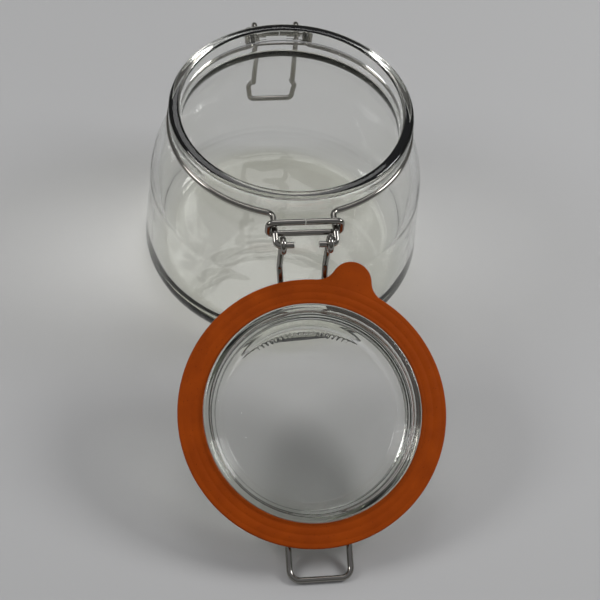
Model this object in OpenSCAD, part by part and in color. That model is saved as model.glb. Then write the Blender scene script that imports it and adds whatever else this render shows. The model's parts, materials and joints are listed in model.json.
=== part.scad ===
// Bail clamp jar: a wide-mouthed glass jar with a glass lid, a rubber seal and a
// steel wire clamp. Millimetres, +Z up, origin at the centre of the jar's base.
// The hinge is on the -Y side and the latch on the +Y side. The jar is drawn open:
// the lid has swung right over until its tongue rests on the table, and the latch
// lever hangs from its pins.

/* [Jar] */
// Height of the sealing rim above the table
rim_h = 87.5; // [70:0.5:110]
// Outer radius of the rim bead
rim_r = 49.8; // [49:0.1:51]
// Radius of the mouth
mouth_r = 45.2; // [43.5:0.1:46.5]
// Height of the rim bead
bead_h = 8; // [6:0.5:9]
// Outer radius of the neck under the bead
neck_r = 48.2; // [47:0.1:49]
// Height of the straight neck under the bead
neck_h = 4; // [3.6:0.1:6]
// Height of the shoulder's curve
shoulder_h = 31.5; // [24:0.5:36]
// Radius of the hollow curve where the shoulder meets the neck
neck_fillet = 3.5; // [2:0.5:6]
// Outer radius of the body under the shoulder
shoulder_r = 57.5; // [54:0.1:58.5]
// Outer radius of the body above the base corner
base_r = 59.8; // [54:0.1:60]
// Radius of the rounded corner at the base
base_corner = 12; // [6:0.5:14]
// Thickness of the glass wall
glass_t = 3.6; // [2.4:0.1:5]
// Thickness of the glass base
floor_t = 5; // [3:0.5:8]
// Depth of the push-up under the base
push_up = 2.2; // [1:0.1:3]

/* [Lid and seal] */
// Outer radius of the seal
seal_r = 52; // [50:0.1:54]
// Radius of the hole in the seal
seal_hole_r = 42.3; // [41:0.1:44]
// Thickness of the seal
seal_t = 2.8; // [2:0.1:4]
// Reach of the seal's pull tab from the centre
tab_reach = 61.6; // [57:0.1:64]
// Radius of the tab's rounded end
tab_r = 8; // [6:0.5:11]
// Radius of the hollow curve on each side of the tab
tab_blend = 8; // [4:0.5:12]
// Angle of the pull tab from the hinge
tab_angle = 20; // [18:1:160]
// Outer radius of the lid's flange
flange_r = 51; // [48:0.1:52]
// Thickness of the lid's flange
flange_t = 5.15; // [3:0.05:6]
// How far the locating ring reaches past the seal into the mouth
plug_drop = 1.5; // [0:0.1:2]
// Width of the locating ring
plug_w = 2.7; // [2:0.1:3.2]
// Depth of the hollow inside the lid, from the seal's sealing face
hollow_d = 13.4; // [11:0.1:18]
// Radius of the flat floor of the hollow
hollow_r = 34.5; // [30:0.5:36]
// Thickness of the lid's top
top_t = 3.6; // [3:0.1:6]
// Radius of the groove that holds the lid wire
groove_r = 41.5; // [41:0.1:43]

/* [Wire clamp] */
// Diameter of the steel wire
wire_d = 2.4; // [2:0.1:2.5]
// Distance of the hinge pins and of the latch pins from the jar's axis
pin_y = 63.1; // [62:0.1:68]
// Distance of the hinge pins below the rim
pin_drop = 11.4; // [10.5:0.1:13]
// Distance of the latch pins below the rim
latch_drop = 16.4; // [14:0.1:18]
// Distance from the middle plane to each neck wire arm
arm_x = 11.8; // [11.6:0.1:14]
// Distance from the middle plane to the end of each pin
pin_end_x = 4.8; // [3:0.1:5.5]
// Distance of the hinge closing ring from the jar's axis
hinge_ring_y = 55.7; // [54.5:0.1:57]
// Distance of the latch closing ring from the jar's axis
latch_ring_y = 53.5; // [53:0.1:54]
// Height of a closing ring, between the middles of its two bars
closing_ring_h = 6.4; // [5.2:0.1:8]
// Distance of the tongue's bar from the jar's axis
tongue_y = 63.2; // [61:0.1:68]
// Height of the tongue's bar above the seal's sealing face
tongue_h = 8.3; // [6:0.1:10]
// Distance from the middle plane to each leg of the tongue
tongue_x = 11.8; // [11.6:0.1:14]
// Length of the latch lever below its pins
lever_len = 41; // [34:0.5:60]
// Distance from the middle plane to the widest part of the lever's handle
lever_wide_x = 11; // [9:0.1:13]
// Distance from the middle plane to the ends of the lever's grip bar
lever_grip_x = 9.8; // [7:0.1:12]

/* [Hidden] */
$fn = 96;

glass = [0.78, 0.84, 0.80, 0.45];
steel = [0.70, 0.71, 0.72];
rubber = [0.60, 0.26, 0.08];

// Clearances
running_gap = 0.08;  // between a pin and the eye around it, and in the seal's hole
seat_gap = 0.06;     // between a wire and the glass or wire that it lies against
face_gap = 0.05;     // between the seal and the lid's flange
loose_gap = 0.3;     // between pieces that only pass each other

wire_r = wire_d / 2;
eye_r = wire_d + running_gap;                 // middle of an eye's wire, around a pin
eye_x = arm_x - wire_d - loose_gap;           // from the middle plane to each eye
eye_turn = 225;                               // how far an eye wraps round its pin
join = 0.06;                                  // how far a rod is let into a bend
bend_swell = 0.004;                           // how much thicker a bend is than a rod
tight_bend = 1.9;                             // bends beside the pins and rings
soft_bend = 3;                                // the other bends
bead_gap = 0.6;                               // between the neck wire and the bead
pin_z = rim_h - pin_drop;
latch_z = rim_h - latch_drop;
neck_wire_r = neck_r + wire_r + seat_gap;
neck_wire_z = rim_h - bead_h - bead_gap - wire_r;
seal_z = rim_h + loose_gap;                   // the sealing face, with the lid closed
flange_z = seal_t + face_gap;                 // the heights below are above that face
flange_top = flange_z + flange_t;
lid_wire_h = flange_top + seat_gap + wire_r;
lid_wire_r = groove_r + wire_r + seat_gap;
lid_arm_y = 50.6;                             // where the lid wire's arms turn down
lid_elbow = [58.8, 5.2];                      // distance and height of the arms' elbow
lid_arm_x = eye_x - 0.5;                      // the arms beside the groove
tongue_elbow_y = 57;                          // where the tongue's legs turn down
tongue_z = seal_z + tongue_h;

// How far the lid swings open: until the tongue's bar lies on the table
tongue_reach = norm([tongue_y + pin_y, tongue_z - pin_z]);
tongue_rise = atan2(tongue_z - pin_z, tongue_y + pin_y);
table_gap = 0.02;
open_turn = 180 + asin((pin_z - wire_r - table_gap) / tongue_reach) - tongue_rise;
echo(open_turn = open_turn, pin_z = pin_z, seal_z = seal_z);

// ---------- geometry helpers ----------

// Points on a circle, from angle a to angle b
function arc(c, r, a, b, n = 6) =
    [for (i = [0:n]) let (t = a + (b - a) * i / n) [c[0] + r * cos(t), c[1] + r * sin(t)]];

function reversed(a) = [for (i = [len(a) - 1:-1:0]) a[i]];

function unit(v) = v / norm(v);

// The angle, seen from c, at which a line from p touches a circle of radius r round c
function touch_angle(p, c, r, side) =
    atan2(p[1] - c[1], p[0] - c[0]) + side * acos(r / norm(p - c));

// Places children with their +Z along w and their +X along u
module frame_at(p, u, w) {
    v = cross(w, u);
    multmatrix([[u[0], v[0], w[0], p[0]], [u[1], v[1], w[1], p[1]],
                [u[2], v[2], w[2], p[2]], [0, 0, 0, 1]])
        children();
}

// A straight length of wire, let a little way into what it meets at each end
module rod(a, b, into_a = join, into_b = join) {
    w = unit(b - a);
    side = abs(w[2]) < 0.9 ? [0, 0, 1] : [0, 1, 0];
    frame_at(a - w * into_a, unit(cross(side, w)), w)
        cylinder(r = wire_r, h = norm(b - a) + into_a + into_b);
}

// A bend: part of a ring in the XY plane, from angle 0, a hair thicker than the rods
module bend(r, turn) {
    rotate_extrude(angle = turn) translate([r, 0]) circle(r = wire_r + bend_swell, $fn = 48);
}

// A wire through a list of corner points, each inner corner rounded by its radius.
// held says whether each end runs on into another piece.
module bent_wire(pts, radii, held = [false, false]) {
    last = len(pts) - 1;
    function turn_at(i) = acos(min(1, unit(pts[i] - pts[i - 1]) * unit(pts[i + 1] - pts[i])));
    function trim(i) = i == 0 || i == last ? 0 : radii[i - 1] * tan(turn_at(i) / 2);
    for (i = [0:last - 1]) {
        w = unit(pts[i + 1] - pts[i]);
        rod(pts[i] + w * trim(i), pts[i + 1] - w * trim(i + 1),
            i == 0 && !held[0] ? 0 : join, i == last - 1 && !held[1] ? 0 : join);
    }
    for (i = [1:last - 1]) {
        w = unit(pts[i] - pts[i - 1]);
        axis = unit(cross(w, pts[i + 1] - pts[i]));
        inward = cross(axis, w);
        centre = pts[i] - w * trim(i) + inward * radii[i - 1];
        frame_at(centre, -inward, axis) bend(radii[i - 1], turn_at(i));
    }
}

// Turns the closed lid's pieces about the hinge pins into the open pose
module opened() {
    translate([0, -pin_y, pin_z]) rotate([open_turn, 0, 0]) translate([0, pin_y, -pin_z])
        children();
}

// ---------- jar ----------

// The outside of the jar from the base up to the neck, moved inwards by t
function side_wall(t) =
    let (rise = shoulder_r - neck_r,
         turn = 2 * atan(rise / shoulder_h),
         sum = shoulder_h / sin(turn),
         crest = sum - neck_fillet,
         neck_z = rim_h - bead_h - neck_h,
         low = neck_z - shoulder_h)
    concat(arc([base_r - base_corner, base_corner], base_corner - t, -90, 0),
           arc([shoulder_r - crest, low], crest - t, 0, turn, 10),
           arc([neck_r + neck_fillet, neck_z], neck_fillet + t, 180 + turn, 180, 5));

module jar_body() {
    bead_bottom = rim_h - bead_h;
    foot_in = base_r - base_corner - 5;
    floor_z = floor_t + push_up;
    rim = concat(arc([rim_r - 1, bead_bottom + 1], 1, -90, 0, 4),
                 arc([rim_r - 1.8, rim_h - 1.8], 1.8, 0, 90, 5),
                 arc([mouth_r + 1.2, rim_h - 1.2], 1.2, 90, 180, 4),
                 [[mouth_r, rim_h - 5]]);
    inner_corner = arc([base_r - base_corner, floor_z + base_corner - glass_t],
                       base_corner - glass_t, 0, -90);
    inside = [for (p = reversed(side_wall(glass_t))) if (p[1] > floor_z + base_corner) p];
    color(glass) rotate_extrude()
        polygon(concat([[0, push_up], [foot_in - 9, push_up], [foot_in - 1.5, push_up / 4], [foot_in, 0]],
                       side_wall(0), [[neck_r, bead_bottom]], rim,
                       inside, inner_corner, [[0, floor_z]]));
}

// ---------- lid and seal, drawn about the sealing face's centre, lid upwards ----------

module glass_lid() {
    plug_r = seal_hole_r - running_gap;
    plug_in = plug_r - plug_w;
    top = hollow_d + top_t;
    keep_h = lid_wire_h + wire_r + 0.2;       // the ridge above the wire's groove
    step = (plug_in - hollow_r) / 4;
    hollow = concat([[0, hollow_d]],
                    arc([hollow_r - 0.6, hollow_d - 1.4], 1.4, 90, 10, 4),
                    [[hollow_r + step, hollow_d * 0.62], [hollow_r + 2 * step, hollow_d * 0.6],
                     [hollow_r + 2.4 * step, hollow_d * 0.32],
                     [hollow_r + 3.6 * step, hollow_d * 0.28]]);
    plug = concat(arc([plug_in + 0.9, -plug_drop + 0.9], 0.9, 180, 270, 4),
                  arc([plug_r - 0.9, -plug_drop + 0.9], 0.9, -90, 0, 4));
    edge = concat([[plug_r, flange_z]],
                  arc([flange_r - 1.8, flange_z + 1.8], 1.8, -90, 0, 5),
                  arc([flange_r - 2, flange_top - 2], 2, 0, 90, 5),
                  [[groove_r, flange_top], [groove_r, keep_h], [groove_r + 0.7, keep_h + 0.9]]);
    crown = arc([groove_r - 3.3, top - 4], 4, 0, 90, 7);
    color(glass) opened() translate([0, 0, seal_z])
        rotate_extrude() polygon(concat(hollow, plug, edge, crown, [[0, top]]));
}

module rubber_seal() {
    tab_c = tab_reach - tab_r;                // the tab's round end, from the centre
    a = seal_r + tab_blend;
    b = tab_r + tab_blend;
    swing = acos((a * a + tab_c * tab_c - b * b) / (2 * a * tab_c));
    color(rubber) opened() translate([0, 0, seal_z]) difference() {
        linear_extrude(seal_t) difference() {
            union() {
                circle(r = seal_r);
                rotate(tab_angle - 90) {
                    translate([tab_c, 0]) circle(r = tab_r);
                    difference() {
                        polygon([[0, 0], [a * cos(swing), -a * sin(swing)], [tab_c, 0],
                                 [a * cos(swing), a * sin(swing)]]);
                        for (s = [-1, 1])
                            translate([a * cos(swing), s * a * sin(swing)]) circle(r = tab_blend);
                    }
                }
            }
            circle(r = seal_hole_r);
        }
        // A fine moulded line round the sealing face
        rotate_extrude() translate([seal_r - 5.2, -1]) square([0.6, 1.2]);
    }
}

// ---------- wires ----------

// The angle from the middle plane at which a wire leaves its circle to reach x
function leave_angle(circle_r, x) = asin(x / circle_r) + 4.6;

// The points where a wire leaves its circle, on the -Y side, and where it turns outwards
function circle_end(circle_r, z, x) =
    let (leave = leave_angle(circle_r, x),
         start = [circle_r * sin(leave), -circle_r * cos(leave), z])
    [start, start - [cos(leave), sin(leave), 0] * ((start[0] - x) / cos(leave))];

function flip_x(pts) = [for (p = reversed(pts)) [-p[0], p[1], p[2]]];
function flip_y(pts) = [for (p = pts) [p[0], -p[1], p[2]]];

// The part of a wire's circle on the +X side, between its two ends
module circle_side(circle_r, z, hinge_x, latch_x) {
    from = -90 + leave_angle(circle_r, hinge_x);
    to = 90 - leave_angle(circle_r, latch_x);
    translate([0, 0, z]) rotate([0, 0, from]) bend(circle_r, to - from);
}

// An eye in a plane of constant x, round c = [y, z], from an angle onwards
module eye(x, c, start, turn) {
    translate([x, c[0], c[1]]) rotate([90, 0, 90]) rotate([0, 0, start]) bend(eye_r, turn);
}

// One arm of the neck wire: out through the closing ring and down and in to the pin
function neck_arm(ring_y, end_z) =
    concat(circle_end(neck_wire_r, neck_wire_z, arm_x),
           [[arm_x, -ring_y - wire_d, neck_wire_z], [arm_x, -pin_y, end_z],
            [pin_end_x, -pin_y, end_z]]);

module neck_half() {
    circle_side(neck_wire_r, neck_wire_z, arm_x, arm_x);
    for (arm = [neck_arm(hinge_ring_y, pin_z), flip_y(neck_arm(latch_ring_y, latch_z))])
        bent_wire(arm, [soft_bend, soft_bend, tight_bend], [true, false]);
}

module neck_wire_right() {
    color(steel) neck_half();
}

module neck_wire_left() {
    color(steel) mirror([1, 0, 0]) neck_half();
}

// A flat closed link round both arms, with its butt joint in the upper bar
module closing_ring(y, fall) {
    mid_z = neck_wire_z - fall;
    half_x = arm_x + wire_d + seat_gap;
    half_h = closing_ring_h / 2;
    joint = 0.15;
    side = [[joint, y, mid_z + half_h], [half_x, y, mid_z + half_h],
            [half_x, y, mid_z - half_h]];
    bent_wire(concat(side, flip_x(side)), [for (i = [1:4]) tight_bend]);
}

module hinge_ring() {
    color(steel) closing_ring(-hinge_ring_y, 0);
}

module latch_ring() {
    color(steel) closing_ring(latch_ring_y, 0.7);
}

// Lid wire: an eye and an arm at the hinge on each side, a ring and a tongue
module lid_wire() {
    pin = [-pin_y, pin_z];
    elbow = [-lid_elbow[0], seal_z + lid_elbow[1]];
    wire_z = seal_z + lid_wire_h;
    start = touch_angle(elbow, pin, eye_r, 1);
    hit = pin + eye_r * [cos(start), sin(start)];
    arm = concat(circle_end(lid_wire_r, wire_z, lid_arm_x),
                 [[lid_arm_x, -lid_arm_y, wire_z], [eye_x, elbow[0], elbow[1]],
                  [eye_x, hit[0], hit[1]]]);
    leg = flip_y(concat(circle_end(lid_wire_r, wire_z, tongue_x),
                        [[tongue_x, -tongue_elbow_y, wire_z], [tongue_x, -tongue_y, tongue_z]]));
    color(steel) opened() {
        for (s = [0, 1]) mirror([s, 0, 0]) {
            circle_side(lid_wire_r, wire_z, lid_arm_x, tongue_x);
            bent_wire(arm, [for (i = [1:3]) soft_bend], [true, true]);
            eye(eye_x, pin, start, eye_turn);
        }
        bent_wire(concat(leg, flip_x(leg)), [soft_bend, soft_bend, 4, 4, soft_bend, soft_bend],
                  [true, true]);
    }
}

// Latch lever, hanging: its crook passes over the tongue's bar when it is swung up
module latch_lever() {
    pin = [pin_y, latch_z];
    bar_z = latch_z - (tongue_z - latch_z);   // the tongue's bar, turned down with the lever
    crook = [pin_y - wire_d - loose_gap - 0.1, bar_z - 1.85];
    knee = [pin_y + 1.6, bar_z - 3.65];
    start = touch_angle(crook, pin, eye_r, -1);
    hit = pin + eye_r * [cos(start), sin(start)];
    side = [[eye_x, hit[0], hit[1]], [eye_x, crook[0], crook[1]], [eye_x, knee[0], knee[1]],
            [lever_wide_x, knee[0], knee[1] - 4], [lever_grip_x, knee[0], latch_z - lever_len]];
    bends = [2.5, 2.3, 2.5, 2.4];
    color(steel) {
        for (s = [0, 1]) mirror([s, 0, 0]) eye(eye_x, pin, start - eye_turn, eye_turn);
        bent_wire(concat(side, flip_x(side)), concat(bends, reversed(bends)), [true, true]);
    }
}

jar_body();
glass_lid();
rubber_seal();
neck_wire_left();
neck_wire_right();
hinge_ring();
latch_ring();
lid_wire();
latch_lever();
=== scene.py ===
"""Looks for an open bail clamp jar: pressed glass, drawn steel wire and a rubber seal.

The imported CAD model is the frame. The glass and the seal are remade here with smooth
moulded edges and ride on their CAD bodies; the wires are the CAD's own, dressed in steel.
"""

import json
import logging
import math
from dataclasses import dataclass, field
from enum import Enum
from typing import Callable, Iterable, Sequence

import bpy
from mathutils import Matrix, Vector


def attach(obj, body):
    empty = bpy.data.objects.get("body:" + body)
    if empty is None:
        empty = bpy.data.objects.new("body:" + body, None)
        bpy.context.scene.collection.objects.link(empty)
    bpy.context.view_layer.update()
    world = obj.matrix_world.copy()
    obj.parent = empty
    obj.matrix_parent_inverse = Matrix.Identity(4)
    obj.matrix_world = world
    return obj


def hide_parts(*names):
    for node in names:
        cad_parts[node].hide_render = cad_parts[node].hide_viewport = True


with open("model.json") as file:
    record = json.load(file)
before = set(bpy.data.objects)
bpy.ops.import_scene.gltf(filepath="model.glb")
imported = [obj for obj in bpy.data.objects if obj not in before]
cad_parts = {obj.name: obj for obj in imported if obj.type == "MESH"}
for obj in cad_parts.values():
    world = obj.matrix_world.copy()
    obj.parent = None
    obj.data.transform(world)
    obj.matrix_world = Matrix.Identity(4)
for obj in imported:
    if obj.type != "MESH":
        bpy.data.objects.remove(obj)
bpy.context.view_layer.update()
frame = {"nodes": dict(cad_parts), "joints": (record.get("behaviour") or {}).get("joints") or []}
MM = 0.001
SHARP_DEG = 50.0   # glass edges over this angle stay sharp
EASE_REACH = 0.45  # share of an edge that one rounding may use
LOG = logging.getLogger("bail_clamp_jar")
Point = tuple[float, float]


class Body(Enum):
    """The moving bodies that pieces ride on."""

    JAR = "jar"
    LID = "lid"
    SEAL = "seal"


class Slot(Enum):
    """The record's material slots."""

    GLASS = "glass"
    RUBBER = "rubber"
    STEEL = "steel"


class ShadowTint(Enum):
    """How much of a lamp's light each glass surface passes, as sRGB."""

    THIN_WALL = "#E6E5E2"
    THICK_LID = "#90938C"


# ---------------------------------------------------------------- shader helpers


def linear(code: str) -> tuple[float, float, float, float]:
    """Turns an sRGB hex colour into linear RGBA.

    Args:
        code: The colour, such as "#7A2A05".

    Returns:
        Red, green, blue and an alpha of 1.
    """
    parts = [int(code[i : i + 2], 16) / 255 for i in (1, 3, 5)]
    rgb = [c / 12.92 if c <= 0.04045 else ((c + 0.055) / 1.055) ** 2.4 for c in parts]
    return (rgb[0], rgb[1], rgb[2], 1.0)


def add_node(tree: bpy.types.NodeTree, kind: str, inputs: dict | None = None,
             **settings: object) -> bpy.types.Node:
    """Adds a shader node with its settings, values and links.

    Args:
        tree: The node tree to add to.
        kind: The node's type name.
        inputs: Socket name or index to a value, or to a socket to link from.
        **settings: Attributes to set on the node itself.

    Returns:
        The new node.
    """
    node = tree.nodes.new(kind)
    for name, value in settings.items():
        setattr(node, name, value)
    for key, value in (inputs or {}).items():
        if isinstance(value, bpy.types.NodeSocket):
            tree.links.new(value, node.inputs[key])
        else:
            node.inputs[key].default_value = value
    return node


def blank_material(name: str) -> tuple[bpy.types.Material, bpy.types.NodeTree]:
    """Makes an empty node material.

    Args:
        name: The finish's name.

    Returns:
        The material and its cleared node tree.
    """
    material = bpy.data.materials.new(name)
    material.use_nodes = True
    material.node_tree.nodes.clear()
    return material, material.node_tree


def noise(tree: bpy.types.NodeTree, place: bpy.types.Node, size_mm: float,
          detail: float) -> bpy.types.NodeSocket:
    """Adds a noise pattern of a real size.

    Args:
        tree: The node tree to add to.
        place: The texture coordinates.
        size_mm: The size of the pattern's patches.
        detail: How many finer layers it has.

    Returns:
        The noise, about 0 to 1.
    """
    node = add_node(tree, "ShaderNodeTexNoise",
                    {"Vector": place.outputs["Object"], "Scale": 1 / (size_mm * MM),
                     "Detail": detail})
    return node.outputs["Fac"]


def relief(tree: bpy.types.NodeTree, height: bpy.types.NodeSocket, height_mm: float,
           strength: float) -> bpy.types.NodeSocket:
    """Turns a pattern into surface relief.

    Args:
        tree: The node tree to add to.
        height: The pattern.
        height_mm: Its height from low to high.
        strength: How much of it shows.

    Returns:
        The bumped normal.
    """
    node = add_node(tree, "ShaderNodeBump",
                    {"Height": height, "Strength": strength, "Distance": height_mm * MM})
    return node.outputs["Normal"]


def blended(tree: bpy.types.NodeTree, share: bpy.types.NodeSocket,
            first: bpy.types.NodeSocket | str, second: str) -> bpy.types.NodeSocket:
    """Blends two colours.

    Args:
        tree: The node tree to add to.
        share: How much of the second colour shows.
        first: The first colour, as a socket or an sRGB hex colour.
        second: The second colour, as an sRGB hex colour.

    Returns:
        The blended colour.
    """
    node = add_node(tree, "ShaderNodeMix", {0: share}, data_type="RGBA")
    low, high = (s for s in node.inputs if s.type == "RGBA")
    if isinstance(first, str):
        low.default_value = linear(first)
    else:
        tree.links.new(first, low)
    high.default_value = linear(second)
    return next(s for s in node.outputs if s.type == "RGBA")


# ---------------------------------------------------------------- finishes


@dataclass(frozen=True)
class PressedGlass:
    """Soda-lime glass, pressed and fire polished.

    Almost colourless, and faintly olive through its depth. The mould leaves a slow
    ripple that bends what is seen through it.
    """

    name: str = "pressed soda-lime glass"
    shadow: ShadowTint = ShadowTint.THIN_WALL
    colour: str = "#FEFEFE"
    depth_colour: str = "#B0B992"
    depth_per_m: float = 15.0
    ior: float = 1.52
    roughness: float = 0.0
    ripple_mm: float = 16.0
    ripple_height_mm: float = 0.11
    ripple_detail: float = 1.0
    ripple_strength: float = 1.0

    def material(self) -> bpy.types.Material:
        """Builds the shader: dielectric, tinted with depth, with its own lamp shadow.

        Returns:
            The material.
        """
        material, tree = blank_material(self.name)
        place = add_node(tree, "ShaderNodeTexCoord")
        ripple = noise(tree, place, self.ripple_mm, self.ripple_detail)
        bump = relief(tree, ripple, self.ripple_height_mm, self.ripple_strength)
        body = add_node(tree, "ShaderNodeBsdfPrincipled",
                        {"Base Color": linear(self.colour), "IOR": self.ior,
                         "Roughness": self.roughness, "Transmission Weight": 1.0,
                         "Normal": bump})
        lamp = add_node(tree, "ShaderNodeBsdfTransparent",
                        {"Color": linear(self.shadow.value)})
        ray = add_node(tree, "ShaderNodeLightPath")
        mix = add_node(tree, "ShaderNodeMixShader",
                       {0: ray.outputs["Is Shadow Ray"], 1: body.outputs[0],
                        2: lamp.outputs[0]})
        depth = add_node(tree, "ShaderNodeVolumeAbsorption",
                         {"Color": linear(self.depth_colour), "Density": self.depth_per_m})
        add_node(tree, "ShaderNodeOutputMaterial",
                 {"Surface": mix.outputs[0], "Volume": depth.outputs[0]})
        return material


@dataclass(frozen=True)
class DrawnSteelWire:
    """Stainless steel wire, drawn bright.

    A mirror-like grey whose highlights are drawn out a little by the die's fine lines.
    """

    name: str = "bright drawn stainless wire"
    colour: str = "#96938E"
    roughness_low: float = 0.06
    roughness_high: float = 0.16
    smear_mm: float = 3.0
    die_line_mm: float = 0.25
    die_line_height_mm: float = 0.004
    smear_detail: float = 4.0
    smear_span: tuple[float, float] = (0.3, 0.75)
    die_line_detail: float = 2.0
    die_line_strength: float = 0.6

    def material(self) -> bpy.types.Material:
        """Builds the shader: metal, with handling smears and faint die lines.

        Returns:
            The material.
        """
        material, tree = blank_material(self.name)
        place = add_node(tree, "ShaderNodeTexCoord")
        smear = noise(tree, place, self.smear_mm, self.smear_detail)
        rough = add_node(tree, "ShaderNodeMapRange",
                         {"Value": smear, "From Min": self.smear_span[0],
                          "From Max": self.smear_span[1], "To Min": self.roughness_low,
                          "To Max": self.roughness_high})
        lines = noise(tree, place, self.die_line_mm, self.die_line_detail)
        bump = relief(tree, lines, self.die_line_height_mm, self.die_line_strength)
        body = add_node(tree, "ShaderNodeBsdfPrincipled",
                        {"Base Color": linear(self.colour), "Metallic": 1.0,
                         "Roughness": rough.outputs[0], "Normal": bump})
        add_node(tree, "ShaderNodeOutputMaterial", {"Surface": body.outputs[0]})
        return material


@dataclass(frozen=True)
class MouldedRubber:
    """Natural rubber, coloured burnt orange and moulded.

    Satin, a little uneven in tone, with dark specks of filler and a soft waxy sheen.
    """

    name: str = "moulded natural rubber"
    colour: str = "#B84F08"
    shade: str = "#903904"
    speck: str = "#6A2A06"
    ior: float = 1.52
    roughness: float = 0.55
    mottle_mm: float = 9.0
    speck_mm: float = 1.6
    grain_mm: float = 0.35
    grain_height_mm: float = 0.02
    specular: float = 0.1
    mottle_detail: float = 3.0
    speck_span: tuple[float, float] = (0.07, 0.13)
    speck_strength: float = 0.75
    grain_detail: float = 3.0
    grain_strength: float = 0.7

    def material(self) -> bpy.types.Material:
        """Builds the shader: mottled colour, specks and a fine moulded grain.

        Returns:
            The material.
        """
        material, tree = blank_material(self.name)
        place = add_node(tree, "ShaderNodeTexCoord")
        mottle = noise(tree, place, self.mottle_mm, self.mottle_detail)
        tone = blended(tree, mottle, self.shade, self.colour)
        cells = add_node(tree, "ShaderNodeTexVoronoi",
                         {"Vector": place.outputs["Object"],
                          "Scale": 1 / (self.speck_mm * MM)})
        dots = add_node(tree, "ShaderNodeMapRange",
                        {"Value": cells.outputs["Distance"],
                         "From Min": self.speck_span[0], "From Max": self.speck_span[1],
                         "To Min": self.speck_strength, "To Max": 0.0})
        colour = blended(tree, dots.outputs[0], tone, self.speck)
        grain = noise(tree, place, self.grain_mm, self.grain_detail)
        bump = relief(tree, grain, self.grain_height_mm, self.grain_strength)
        body = add_node(tree, "ShaderNodeBsdfPrincipled",
                        {"Base Color": colour, "IOR": self.ior, "Roughness": self.roughness,
                         "Specular IOR Level": self.specular, "Normal": bump})
        add_node(tree, "ShaderNodeOutputMaterial", {"Surface": body.outputs[0]})
        return material


@dataclass(frozen=True)
class PaperSweep:
    """Matt background paper, pale grey and even."""

    name: str = "matt background paper"
    colour: str = "#C9C9C9"
    roughness: float = 0.9
    specular: float = 0.2

    def material(self) -> bpy.types.Material:
        """Builds the shader: one even matt colour.

        Returns:
            The material.
        """
        material, tree = blank_material(self.name)
        body = add_node(tree, "ShaderNodeBsdfPrincipled",
                        {"Base Color": linear(self.colour), "Roughness": self.roughness,
                         "Specular IOR Level": self.specular})
        add_node(tree, "ShaderNodeOutputMaterial", {"Surface": body.outputs[0]})
        return material


# ---------------------------------------------------------------- mesh helpers


def arc(centre: Point, radius: float, start: float, end: float, steps: int = 10) -> list[Point]:
    """Lists points on a circle.

    Args:
        centre: The circle's centre.
        radius: Its radius.
        start: The first point's angle in degrees.
        end: The last point's angle in degrees.
        steps: How many steps to take.

    Returns:
        The points, from start to end.
    """
    angles = [math.radians(start + (end - start) * i / steps) for i in range(steps + 1)]
    return [(centre[0] + radius * math.cos(a), centre[1] + radius * math.sin(a))
            for a in angles]


def eased(points: Sequence[Point], radius: float, steps: int = 5) -> list[Point]:
    """Rounds the inner corners of an open outline.

    Args:
        points: The outline's corners.
        radius: The largest rounding; short edges take less.
        steps: Points per rounding.

    Returns:
        The outline with a smooth curve in place of each corner.
    """
    out: list[Point] = [points[0]]
    for before, corner, after in zip(points, points[1:], points[2:]):
        p, c, q = Vector(before), Vector(corner), Vector(after)
        reach = min(radius, (p - c).length * EASE_REACH, (q - c).length * EASE_REACH)
        a, b = c + (p - c).normalized() * reach, c + (q - c).normalized() * reach
        for i in range(steps + 1):
            t = i / steps
            point = a * (1 - t) ** 2 + c * 2 * t * (1 - t) + b * t * t
            out.append((point.x, point.y))
    out.append(points[-1])
    return out


def subdivided(points: Sequence[Point], longest: float) -> list[Point]:
    """Cuts an outline's long edges.

    Args:
        points: The outline.
        longest: The longest edge to leave.

    Returns:
        The outline with extra points on its long edges.
    """
    out: list[Point] = [points[0]]
    for a, b in zip(points, points[1:]):
        cuts = max(1, math.ceil(math.dist(a, b) / longest))
        out += [(a[0] + (b[0] - a[0]) * i / cuts, a[1] + (b[1] - a[1]) * i / cuts)
                for i in range(1, cuts + 1)]
    return out


def turned_mesh(name: str, outline: Sequence[Point], segments: int,
                lift: Callable[[float, float, float], float] | None = None) -> bpy.types.Mesh:
    """Turns an outline that starts and ends on the axis into a closed solid.

    Args:
        name: The mesh's name.
        outline: Radius and height in millimetres.
        segments: How many segments go round.
        lift: Extra height in millimetres for a radius, a height and an angle.

    Returns:
        The mesh, in metres.
    """
    inner = outline[1:-1]
    verts = [(0.0, 0.0, outline[0][1] * MM), (0.0, 0.0, outline[-1][1] * MM)]
    for s in range(segments):
        angle = math.tau * s / segments
        for radius, height in inner:
            extra = lift(radius, height, angle) if lift else 0.0
            verts.append((radius * math.cos(angle) * MM, radius * math.sin(angle) * MM,
                          (height + extra) * MM))
    count = len(inner)
    faces: list[tuple[int, ...]] = []
    for s in range(segments):
        a, b = 2 + s * count, 2 + (s + 1) % segments * count
        faces.append((0, b, a))
        faces.append((1, a + count - 1, b + count - 1))
        faces += [(a + i, b + i, b + i + 1, a + i + 1) for i in range(count - 1)]
    return finished_mesh(name, verts, faces, SHARP_DEG)


def finished_mesh(name: str, verts: Sequence[tuple[float, float, float]],
                  faces: Sequence[tuple[int, ...]], sharp: float) -> bpy.types.Mesh:
    """Makes a smooth-shaded mesh with outward normals.

    Args:
        name: The mesh's name.
        verts: Its vertices, in metres.
        faces: Its faces.
        sharp: The angle in degrees above which an edge stays sharp.

    Returns:
        The mesh.
    """
    mesh = bpy.data.meshes.new(name)
    mesh.from_pydata(verts, [], faces)
    mesh.validate()
    mesh.update()
    volume = sum(p.center.dot(p.normal) * p.area for p in mesh.polygons)
    if volume < 0:
        mesh.flip_normals()
    mesh.polygons.foreach_set("use_smooth", [True] * len(mesh.polygons))
    mesh.set_sharp_from_angle(angle=math.radians(sharp))
    return mesh


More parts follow.
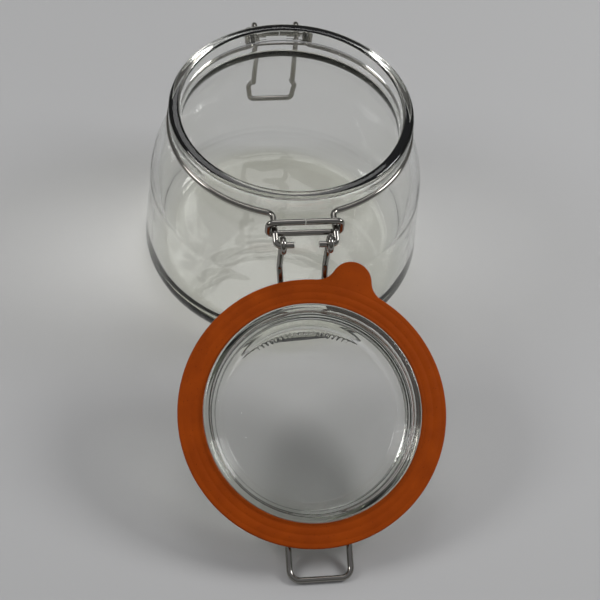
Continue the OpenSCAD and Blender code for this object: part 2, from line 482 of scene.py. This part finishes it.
def place_piece(mesh: bpy.types.Mesh, body: Body, node: str,
                finish: bpy.types.Material, where: Matrix | None = None) -> bpy.types.Object:
    """Puts a piece in the scene in place of a CAD node.

    Args:
        mesh: The piece's mesh.
        body: The body it rides on.
        node: The CAD node that it stands for.
        finish: Its material.
        where: A transform for the mesh, if it isn't modelled in place.

    Returns:
        The new object.
    """
    if where is not None:
        mesh.transform(where)
    piece = bpy.data.objects.new(mesh.name, mesh)
    bpy.context.scene.collection.objects.link(piece)
    mesh.materials.append(finish)
    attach(piece, body.value)
    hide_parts(node)
    LOG.info("%s: %d faces, on %s", piece.name, len(mesh.polygons), body.value)
    return piece


# ---------------------------------------------------------------- the pieces


@dataclass
class OpenPose:
    """Where the swung-back lid lies, read from the frame's own joint."""

    seal_z: float = 87.8

    def matrix(self) -> Matrix:
        """Gives the transform from the lid's own frame to the open pose.

        Returns:
            The matrix; the lid's own frame has the sealing face at height 0.
        """
        joint = next(j for j in frame["joints"] if j["name"] == "lid_hinge")
        pin = Vector(joint["pos_m"])
        turn = Matrix.Rotation(math.radians(-min(joint["range_deg"])), 4, "X")
        raised = Matrix.Translation((0, 0, self.seal_z * MM))
        return Matrix.Translation(pin) @ turn @ Matrix.Translation(-pin) @ raised


@dataclass
class GlassJar:
    """The jar: one pressed glass body. Sizes in millimetres."""

    rim_h: float = 87.5
    rim_r: float = 49.8
    mouth_r: float = 45.2
    bead_h: float = 8.0
    neck_r: float = 48.2
    neck_h: float = 4.0
    shoulder_h: float = 31.5
    neck_fillet: float = 3.5
    shoulder_r: float = 57.5
    base_r: float = 59.8
    base_corner: float = 12.0
    wall: float = 3.6
    floor: float = 5.0
    push_up: float = 2.2
    foot_w: float = 5.0
    # How far inside the foot, and the share of the push-up there.
    push_up_curve: tuple[Point, ...] = ((24.0, 0.9), (10.0, 0.45), (0.0, 0.06))
    push_up_ease: float = 9.0
    bead_corner: float = 1.0
    rim_corner: float = 1.8
    lip_corner: float = 1.2
    lip_h: float = 5.0
    neck_step: float = 0.2
    base_steps: int = 14
    shoulder_steps: int = 24
    fillet_steps: int = 10
    push_up_steps: int = 8
    rim_steps: tuple[int, int, int] = (6, 8, 7)
    longest_edge: float = 3.0
    segments: int = 256

    def side(self, inset: float) -> list[Point]:
        """Draws the side from the base to the neck.

        Args:
            inset: How far to move it inwards.

        Returns:
            The outline, upwards.
        """
        rise = self.shoulder_r - self.neck_r
        turn = math.degrees(2 * math.atan(rise / self.shoulder_h))
        crest = self.shoulder_h / math.sin(math.radians(turn)) - self.neck_fillet
        neck_z = self.rim_h - self.bead_h - self.neck_h
        return (arc((self.base_r - self.base_corner, self.base_corner),
                    self.base_corner - inset, -90, 0, self.base_steps)
                + arc((self.shoulder_r - crest, neck_z - self.shoulder_h), crest - inset,
                      0, turn, self.shoulder_steps)
                + arc((self.neck_r + self.neck_fillet, neck_z), self.neck_fillet + inset,
                      180 + turn, 180, self.fillet_steps))

    def outline(self) -> list[Point]:
        """Draws half the jar's section.

        Returns:
            The outline from the axis under the base, round the rim, to the floor.
        """
        bead = self.rim_h - self.bead_h
        corner_r = self.base_r - self.base_corner
        foot = corner_r - self.foot_w
        floor_z = self.floor + self.push_up
        under = eased([(0, self.push_up),
                       *((foot - inside, self.push_up * share)
                         for inside, share in self.push_up_curve),
                       (corner_r, 0)], self.push_up_ease, self.push_up_steps)
        bead_n, rim_n, lip_n = self.rim_steps
        rim = (arc((self.rim_r - self.bead_corner, bead + self.bead_corner),
                   self.bead_corner, -90, 0, bead_n)
               + arc((self.rim_r - self.rim_corner, self.rim_h - self.rim_corner),
                     self.rim_corner, 0, 90, rim_n)
               + arc((self.mouth_r + self.lip_corner, self.rim_h - self.lip_corner),
                     self.lip_corner, 90, 180, lip_n)
               + [(self.mouth_r, self.rim_h - self.lip_h)])
        wall = [p for p in reversed(self.side(self.wall)) if p[1] > floor_z + self.base_corner]
        corner = arc((corner_r, floor_z + self.base_corner - self.wall),
                     self.base_corner - self.wall, 0, -90, self.base_steps)
        step = [(self.neck_r, bead - self.neck_step), (self.neck_r + self.neck_step, bead)]
        return under + self.side(0)[1:] + step + rim + wall + corner + [(0, floor_z)]

    def build(self, finish: bpy.types.Material) -> bpy.types.Object:
        """Makes the jar in glass.

        Args:
            finish: The glass.

        Returns:
            The jar.
        """
        outline = subdivided(self.outline(), self.longest_edge)
        mesh = turned_mesh("pressed_jar", outline, self.segments)
        return place_piece(mesh, Body.JAR, "jar_body", finish)


@dataclass
class GlassLid:
    """The lid: pressed glass with a hollow dome. Heights are above the sealing face."""

    seal_hole_r: float = 42.3
    seal_t: float = 2.8
    fit: float = 0.08
    face_gap: float = 0.05
    plug_w: float = 2.7
    plug_drop: float = 1.5
    flange_r: float = 51.0
    flange_t: float = 5.15
    hollow_d: float = 13.4
    hollow_r: float = 34.5
    top_t: float = 3.6
    groove_r: float = 41.5
    ridge_h: float = 10.72
    stipple: tuple[float, float] = (32.0, 33.7)
    stipple_count: int = 108
    stipple_mm: float = 0.22
    pips: tuple[tuple[float, float], ...] = ((25.6, 196.0), (27.6, 184.0), (28.2, 174.0),
                                             (27.0, 163.0), (26.0, 20.0), (28.0, 16.0))
    pip_r: float = 1.0
    pip_mm: float = 0.55
    marked_depth: float = 0.3
    hollow_flat_r: float = 24.0
    stipple_rim: float = 1.0
    hollow_chamfer: float = 0.2
    # Quarters of the way from the hollow's floor out to the plug, and share of the depth.
    hollow_steps: tuple[Point, ...] = ((1.0, 0.62), (2.0, 0.6), (2.4, 0.32), (3.6, 0.28))
    hollow_lip: float = 2.0
    hollow_ease: float = 1.3
    plug_corner: float = 0.9
    plug_step: float = 0.1
    flange_low_corner: float = 1.8
    flange_top_corner: float = 2.0
    # The groove: width of its ledge, overhang, two rises and their rounding.
    groove_ledge: float = 1.2
    groove_lip: float = 0.7
    groove_rises: tuple[float, float] = (0.9, 1.8)
    groove_ease: float = 0.5
    crown_corner: float = 4.0
    crown_inset: float = 3.3
    plug_steps: int = 7
    flange_steps: int = 9
    crown_steps: int = 12
    longest_edge: float = 0.6
    segments: int = 648

    def outline(self) -> list[Point]:
        """Draws half the lid's section.

        Returns:
            The outline from the hollow's floor, round the plug and flange, to the top.
        """
        plug_r = self.seal_hole_r - self.fit
        plug_in = plug_r - self.plug_w
        flange_z = self.seal_t + self.face_gap
        flange_top = flange_z + self.flange_t
        top = self.hollow_d + self.top_t
        step = (plug_in - self.hollow_r) / 4
        hollow = eased([(0, self.hollow_d), (self.hollow_flat_r, self.hollow_d),
                        (self.stipple[0] - self.stipple_rim, self.hollow_d),
                        (self.hollow_r - self.hollow_chamfer,
                         self.hollow_d - self.hollow_chamfer),
                        *((self.hollow_r + quarters * step, self.hollow_d * share)
                          for quarters, share in self.hollow_steps),
                        (plug_in, self.hollow_lip)], self.hollow_ease)
        turn, end_z = self.plug_corner, self.plug_corner - self.plug_drop
        plug = (arc((plug_in + turn, end_z), turn, 180, 270, self.plug_steps)
                + arc((plug_r - turn, end_z), turn, -90, 0, self.plug_steps))
        low, high = self.flange_low_corner, self.flange_top_corner
        lip = self.groove_r + self.groove_lip
        edge = ([(plug_r, flange_z - self.plug_step), (plug_r + self.plug_step, flange_z)]
                + arc((self.flange_r - low, flange_z + low), low, -90, 0, self.flange_steps)
                + arc((self.flange_r - high, flange_top - high), high, 0, 90,
                      self.flange_steps)
                + eased([(self.groove_r + self.groove_ledge, flange_top),
                         (self.groove_r, flange_top), (self.groove_r, self.ridge_h),
                         *((lip, self.ridge_h + rise) for rise in self.groove_rises)],
                        self.groove_ease))
        crown = arc((self.groove_r - self.crown_inset, top - self.crown_corner),
                    self.crown_corner, 0, 90, self.crown_steps)
        return hollow + plug + edge + crown + [(0, top)]

    def knurl(self, radius: float, height: float, angle: float) -> float:
        """Raises the ring of small mould marks and the few pips on the hollow's floor.

        Args:
            radius: The point's radius.
            height: Its height.
            angle: Its angle round the axis.

        Returns:
            The extra height, down into the hollow.
        """
        low, high = self.stipple
        if abs(height - self.hollow_d) > self.marked_depth:
            return 0.0
        for pip_at, pip_deg in self.pips:
            off = math.dist((radius * math.cos(angle), radius * math.sin(angle)),
                            (pip_at * math.cos(math.radians(pip_deg)),
                             pip_at * math.sin(math.radians(pip_deg))))
            if off < self.pip_r:
                return -self.pip_mm * (1 - (off / self.pip_r) ** 2)
        if not low < radius < high:
            return 0.0
        across = math.sin(math.pi * (radius - low) / (high - low))
        return -self.stipple_mm * across * max(0.0, math.cos(self.stipple_count * angle))

    def build(self, finish: bpy.types.Material, where: Matrix) -> bpy.types.Object:
        """Makes the lid in glass.

        Args:
            finish: The glass.
            where: The lid's place.

        Returns:
            The lid.
        """
        outline = subdivided(self.outline(), self.longest_edge)
        mesh = turned_mesh("pressed_lid", outline, self.segments, self.knurl)
        return place_piece(mesh, Body.LID, "glass_lid", finish, where)


@dataclass
class RubberSeal:
    """The seal: a flat ring with one rounded pull tab. Heights are above its sealing face."""

    outer_r: float = 52.0
    hole_r: float = 42.3
    thick: float = 2.8
    tab_reach: float = 61.6
    tab_r: float = 8.0
    tab_blend: float = 8.0
    tab_deg: float = -70.0
    edge_r: float = 0.55
    rings: tuple[float, ...] = (43.9, 46.8, 50.1)
    ring_depth: float = 0.09
    ring_w: float = 0.3
    edge_band: float = 1.4
    band_shares: tuple[float, float, float] = (0.0, 0.35, 0.7)
    back_r: tuple[float, float] = (48.0, 45.0)
    edge_steps: int = 5
    sharp_deg: float = 60.0
    segments: int = 480

    def reach(self, angle: float) -> float:
        """Gives the outline's radius at an angle.

        Args:
            angle: The angle in radians.

        Returns:
            The radius in millimetres.
        """
        off = abs((angle - math.radians(self.tab_deg) + math.pi) % math.tau - math.pi)
        far, near = self.outer_r + self.tab_blend, self.tab_reach - self.tab_r
        span = self.tab_r + self.tab_blend
        swing = math.acos((far**2 + near**2 - span**2) / (2 * far * near))
        if off >= swing:
            return self.outer_r
        bend = Vector((far * math.cos(swing), far * math.sin(swing)))
        tip = Vector((near, 0.0))
        meet = tip + (bend - tip) * self.tab_r / span
        if off > math.atan2(meet.y, meet.x):
            side = far * math.sin(off - swing)
            return far * math.cos(off - swing) - math.sqrt(self.tab_blend**2 - side**2)
        return near * math.cos(off) + math.sqrt(self.tab_r**2 - (near * math.sin(off)) ** 2)

    def section(self, outer: float) -> list[Point]:
        """Draws the ring's section with rounded edges and fine moulded lines.

        Args:
            outer: The radius of the outer edge.

        Returns:
            The closed outline: sealing face, outer edge, back, hole.
        """
        e, n, marks = self.edge_r, self.edge_steps, []
        for ring in self.rings:
            marks += [(ring - self.ring_w, 0.0), (ring, self.ring_depth),
                      (ring + self.ring_w, 0.0)]
        flat = self.outer_r - self.edge_band
        wide = [flat + (outer - e - flat) * share for share in self.band_shares]
        back = [wide[2], wide[1], flat, *self.back_r]
        return (marks + [(r, 0.0) for r in wide]
                + arc((outer - e, e), e, -90, 0, n)
                + arc((outer - e, self.thick - e), e, 0, 90, n)
                + [(r, self.thick) for r in back]
                + arc((self.hole_r + e, self.thick - e), e, 90, 180, n)
                + arc((self.hole_r + e, e), e, 180, 270, n))

    def build(self, finish: bpy.types.Material, where: Matrix) -> bpy.types.Object:
        """Makes the seal in rubber.

        Args:
            finish: The rubber.
            where: The lid's place, which the seal shares.

        Returns:
            The seal.
        """
        verts: list[tuple[float, float, float]] = []
        for s in range(self.segments):
            angle = math.tau * s / self.segments
            ring = self.section(self.reach(angle))
            verts += [(r * math.cos(angle) * MM, r * math.sin(angle) * MM, h * MM)
                      for r, h in ring]
        count = len(verts) // self.segments
        faces = []
        for s in range(self.segments):
            a, b = s * count, (s + 1) % self.segments * count
            faces += [(a + i, b + i, b + (i + 1) % count, a + (i + 1) % count)
                      for i in range(count)]
        mesh = finished_mesh("moulded_seal", verts, faces, self.sharp_deg)
        return place_piece(mesh, Body.SEAL, "rubber_seal", finish, where)


@dataclass
class WireClamp:
    """The clamp's wires: the CAD's own round wire, dressed in steel."""

    nodes: tuple[str, ...] = ("neck_wire_left", "neck_wire_right", "hinge_ring",
                              "latch_ring", "lid_wire", "latch_lever")

    def dress(self, finish: bpy.types.Material) -> None:
        """Gives each wire its finish.

        Args:
            finish: The steel.
        """
        for name in self.nodes:
            wire = frame["nodes"][name]
            wire.data.materials.clear()
            wire.data.materials.append(finish)
            wire.data.polygons.foreach_set("use_smooth", [True] * len(wire.data.polygons))
            LOG.info("%s: dressed", name)


# ---------------------------------------------------------------- stage


@dataclass
class Studio:
    """The paper sweep, the lamps and the camera."""

    floor_m: float = 6.0
    backdrop_hex: str = "#B4B4B4"
    horizon_hex: str = "#55584E"
    zenith_hex: str = "#8C8C8F"
    lens_mm: float = 86.75
    sensor_mm: float = 36.0
    camera_mm: tuple[float, float, float] = (-69.1, -412.0, 502.2)
    azimuth: float = -11.19
    elevation: float = 52.35
    roll: float = 6.58
    clip_start_m: float = 0.01
    aim_m: tuple[float, float, float] = (0.0, -0.06, 0.03)
    sky_band: tuple[float, float] = (0.1, 0.75)
    # Azimuth, elevation, distance and diameter in metres, and power in watts.
    softboxes: tuple[tuple[float, float, float, float, float], ...] = field(default=(
        (-98.0, 40.0, 1.1, 0.38, 2.8),
        (96.0, 38.0, 1.1, 0.38, 4.4),
        (178.0, 58.0, 1.4, 0.7, 2.2)))

    def floor(self, finish: bpy.types.Material) -> None:
        """Lays the paper.

        Args:
            finish: The paper.
        """
        half = self.floor_m / 2
        mesh = bpy.data.meshes.new("paper")
        mesh.from_pydata([(-half, -half, 0), (half, -half, 0), (half, half, 0),
                          (-half, half, 0)], [], [(0, 1, 2, 3)])
        mesh.materials.append(finish)
        paper = bpy.data.objects.new("paper_sweep", mesh)
        bpy.context.scene.collection.objects.link(paper)

    def lamps(self) -> None:
        """Hangs the softboxes and sets the room.

        The room is dim at the horizon and pale overhead, with an even backdrop.
        """
        world = bpy.data.worlds.new("even light")
        world.use_nodes = True
        tree = world.node_tree
        tree.nodes.clear()
        place = add_node(tree, "ShaderNodeTexCoord")
        axes = add_node(tree, "ShaderNodeSeparateXYZ", {0: place.outputs["Generated"]})
        height = add_node(tree, "ShaderNodeMapRange",
                          {"Value": axes.outputs["Z"], "From Min": self.sky_band[0],
                           "From Max": self.sky_band[1]})
        ramp = add_node(tree, "ShaderNodeValToRGB", {0: height.outputs[0]})
        ramp.color_ramp.elements[0].color = linear(self.horizon_hex)
        ramp.color_ramp.elements[1].color = linear(self.zenith_hex)
        sky = add_node(tree, "ShaderNodeBackground", {"Color": ramp.outputs[0]})
        backdrop = add_node(tree, "ShaderNodeBackground",
                            {"Color": linear(self.backdrop_hex)})
        ray = add_node(tree, "ShaderNodeLightPath")
        seen = add_node(tree, "ShaderNodeMixShader",
                        {0: ray.outputs["Is Camera Ray"], 1: sky.outputs[0],
                         2: backdrop.outputs[0]})
        add_node(tree, "ShaderNodeOutputWorld", {"Surface": seen.outputs[0]})
        bpy.context.scene.world = world
        for i, (azimuth, elevation, distance, size, power) in enumerate(self.softboxes):
            light = bpy.data.lights.new(f"softbox {i + 1}", "AREA")
            light.shape, light.size, light.energy = "DISK", size, power
            lamp = bpy.data.objects.new(light.name, light)
            a, e = math.radians(azimuth), math.radians(elevation)
            away = Vector((math.sin(a) * math.cos(e), -math.cos(a) * math.cos(e), math.sin(e)))
            lamp.location = Vector(self.aim_m) + away * distance
            lamp.rotation_euler = away.to_track_quat("Z", "Y").to_euler()
            bpy.context.scene.collection.objects.link(lamp)

    def camera(self) -> None:
        """Sets up the camera.

        Its azimuth and elevation say where it stands from what it looks at.
        """
        a, e, r = (math.radians(v) for v in (self.azimuth, self.elevation, self.roll))
        back = Vector((math.sin(a) * math.cos(e), -math.cos(a) * math.cos(e), math.sin(e)))
        level = Vector((0, 0, 1)).cross(back).normalized()
        upright = back.cross(level)
        right = level * math.cos(r) + upright * math.sin(r)
        up = upright * math.cos(r) - level * math.sin(r)
        data = bpy.data.cameras.new("camera")
        data.lens, data.sensor_width = self.lens_mm, self.sensor_mm
        data.clip_start = self.clip_start_m
        camera = bpy.data.objects.new("camera", data)
        turned = Matrix((right, up, back)).transposed().to_4x4()
        camera.matrix_world = Matrix.Translation(Vector(self.camera_mm) * MM) @ turned
        bpy.context.scene.collection.objects.link(camera)
        bpy.context.scene.camera = camera
        bpy.context.scene.view_settings.view_transform = "Standard"

    def build(self, finish: bpy.types.Material) -> None:
        """Sets up everything round the object.

        Args:
            finish: The paper.
        """
        self.floor(finish)
        self.lamps()
        self.camera()


def main() -> None:
    """Builds the jar, its lid, seal and wires, and the studio."""
    logging.basicConfig(level=logging.INFO, format="%(message)s")
    jar_glass = PressedGlass().material()
    lid_glass = PressedGlass("pressed soda-lime lid glass", ShadowTint.THICK_LID).material()
    steel = DrawnSteelWire().material()
    rubber = MouldedRubber().material()
    lid_place = OpenPose().matrix()
    GlassJar().build(jar_glass)
    GlassLid().build(lid_glass, lid_place)
    RubberSeal().build(rubber, lid_place)
    WireClamp().dress(steel)
    Studio().build(PaperSweep().material())


if __name__ == "__main__":
    main()
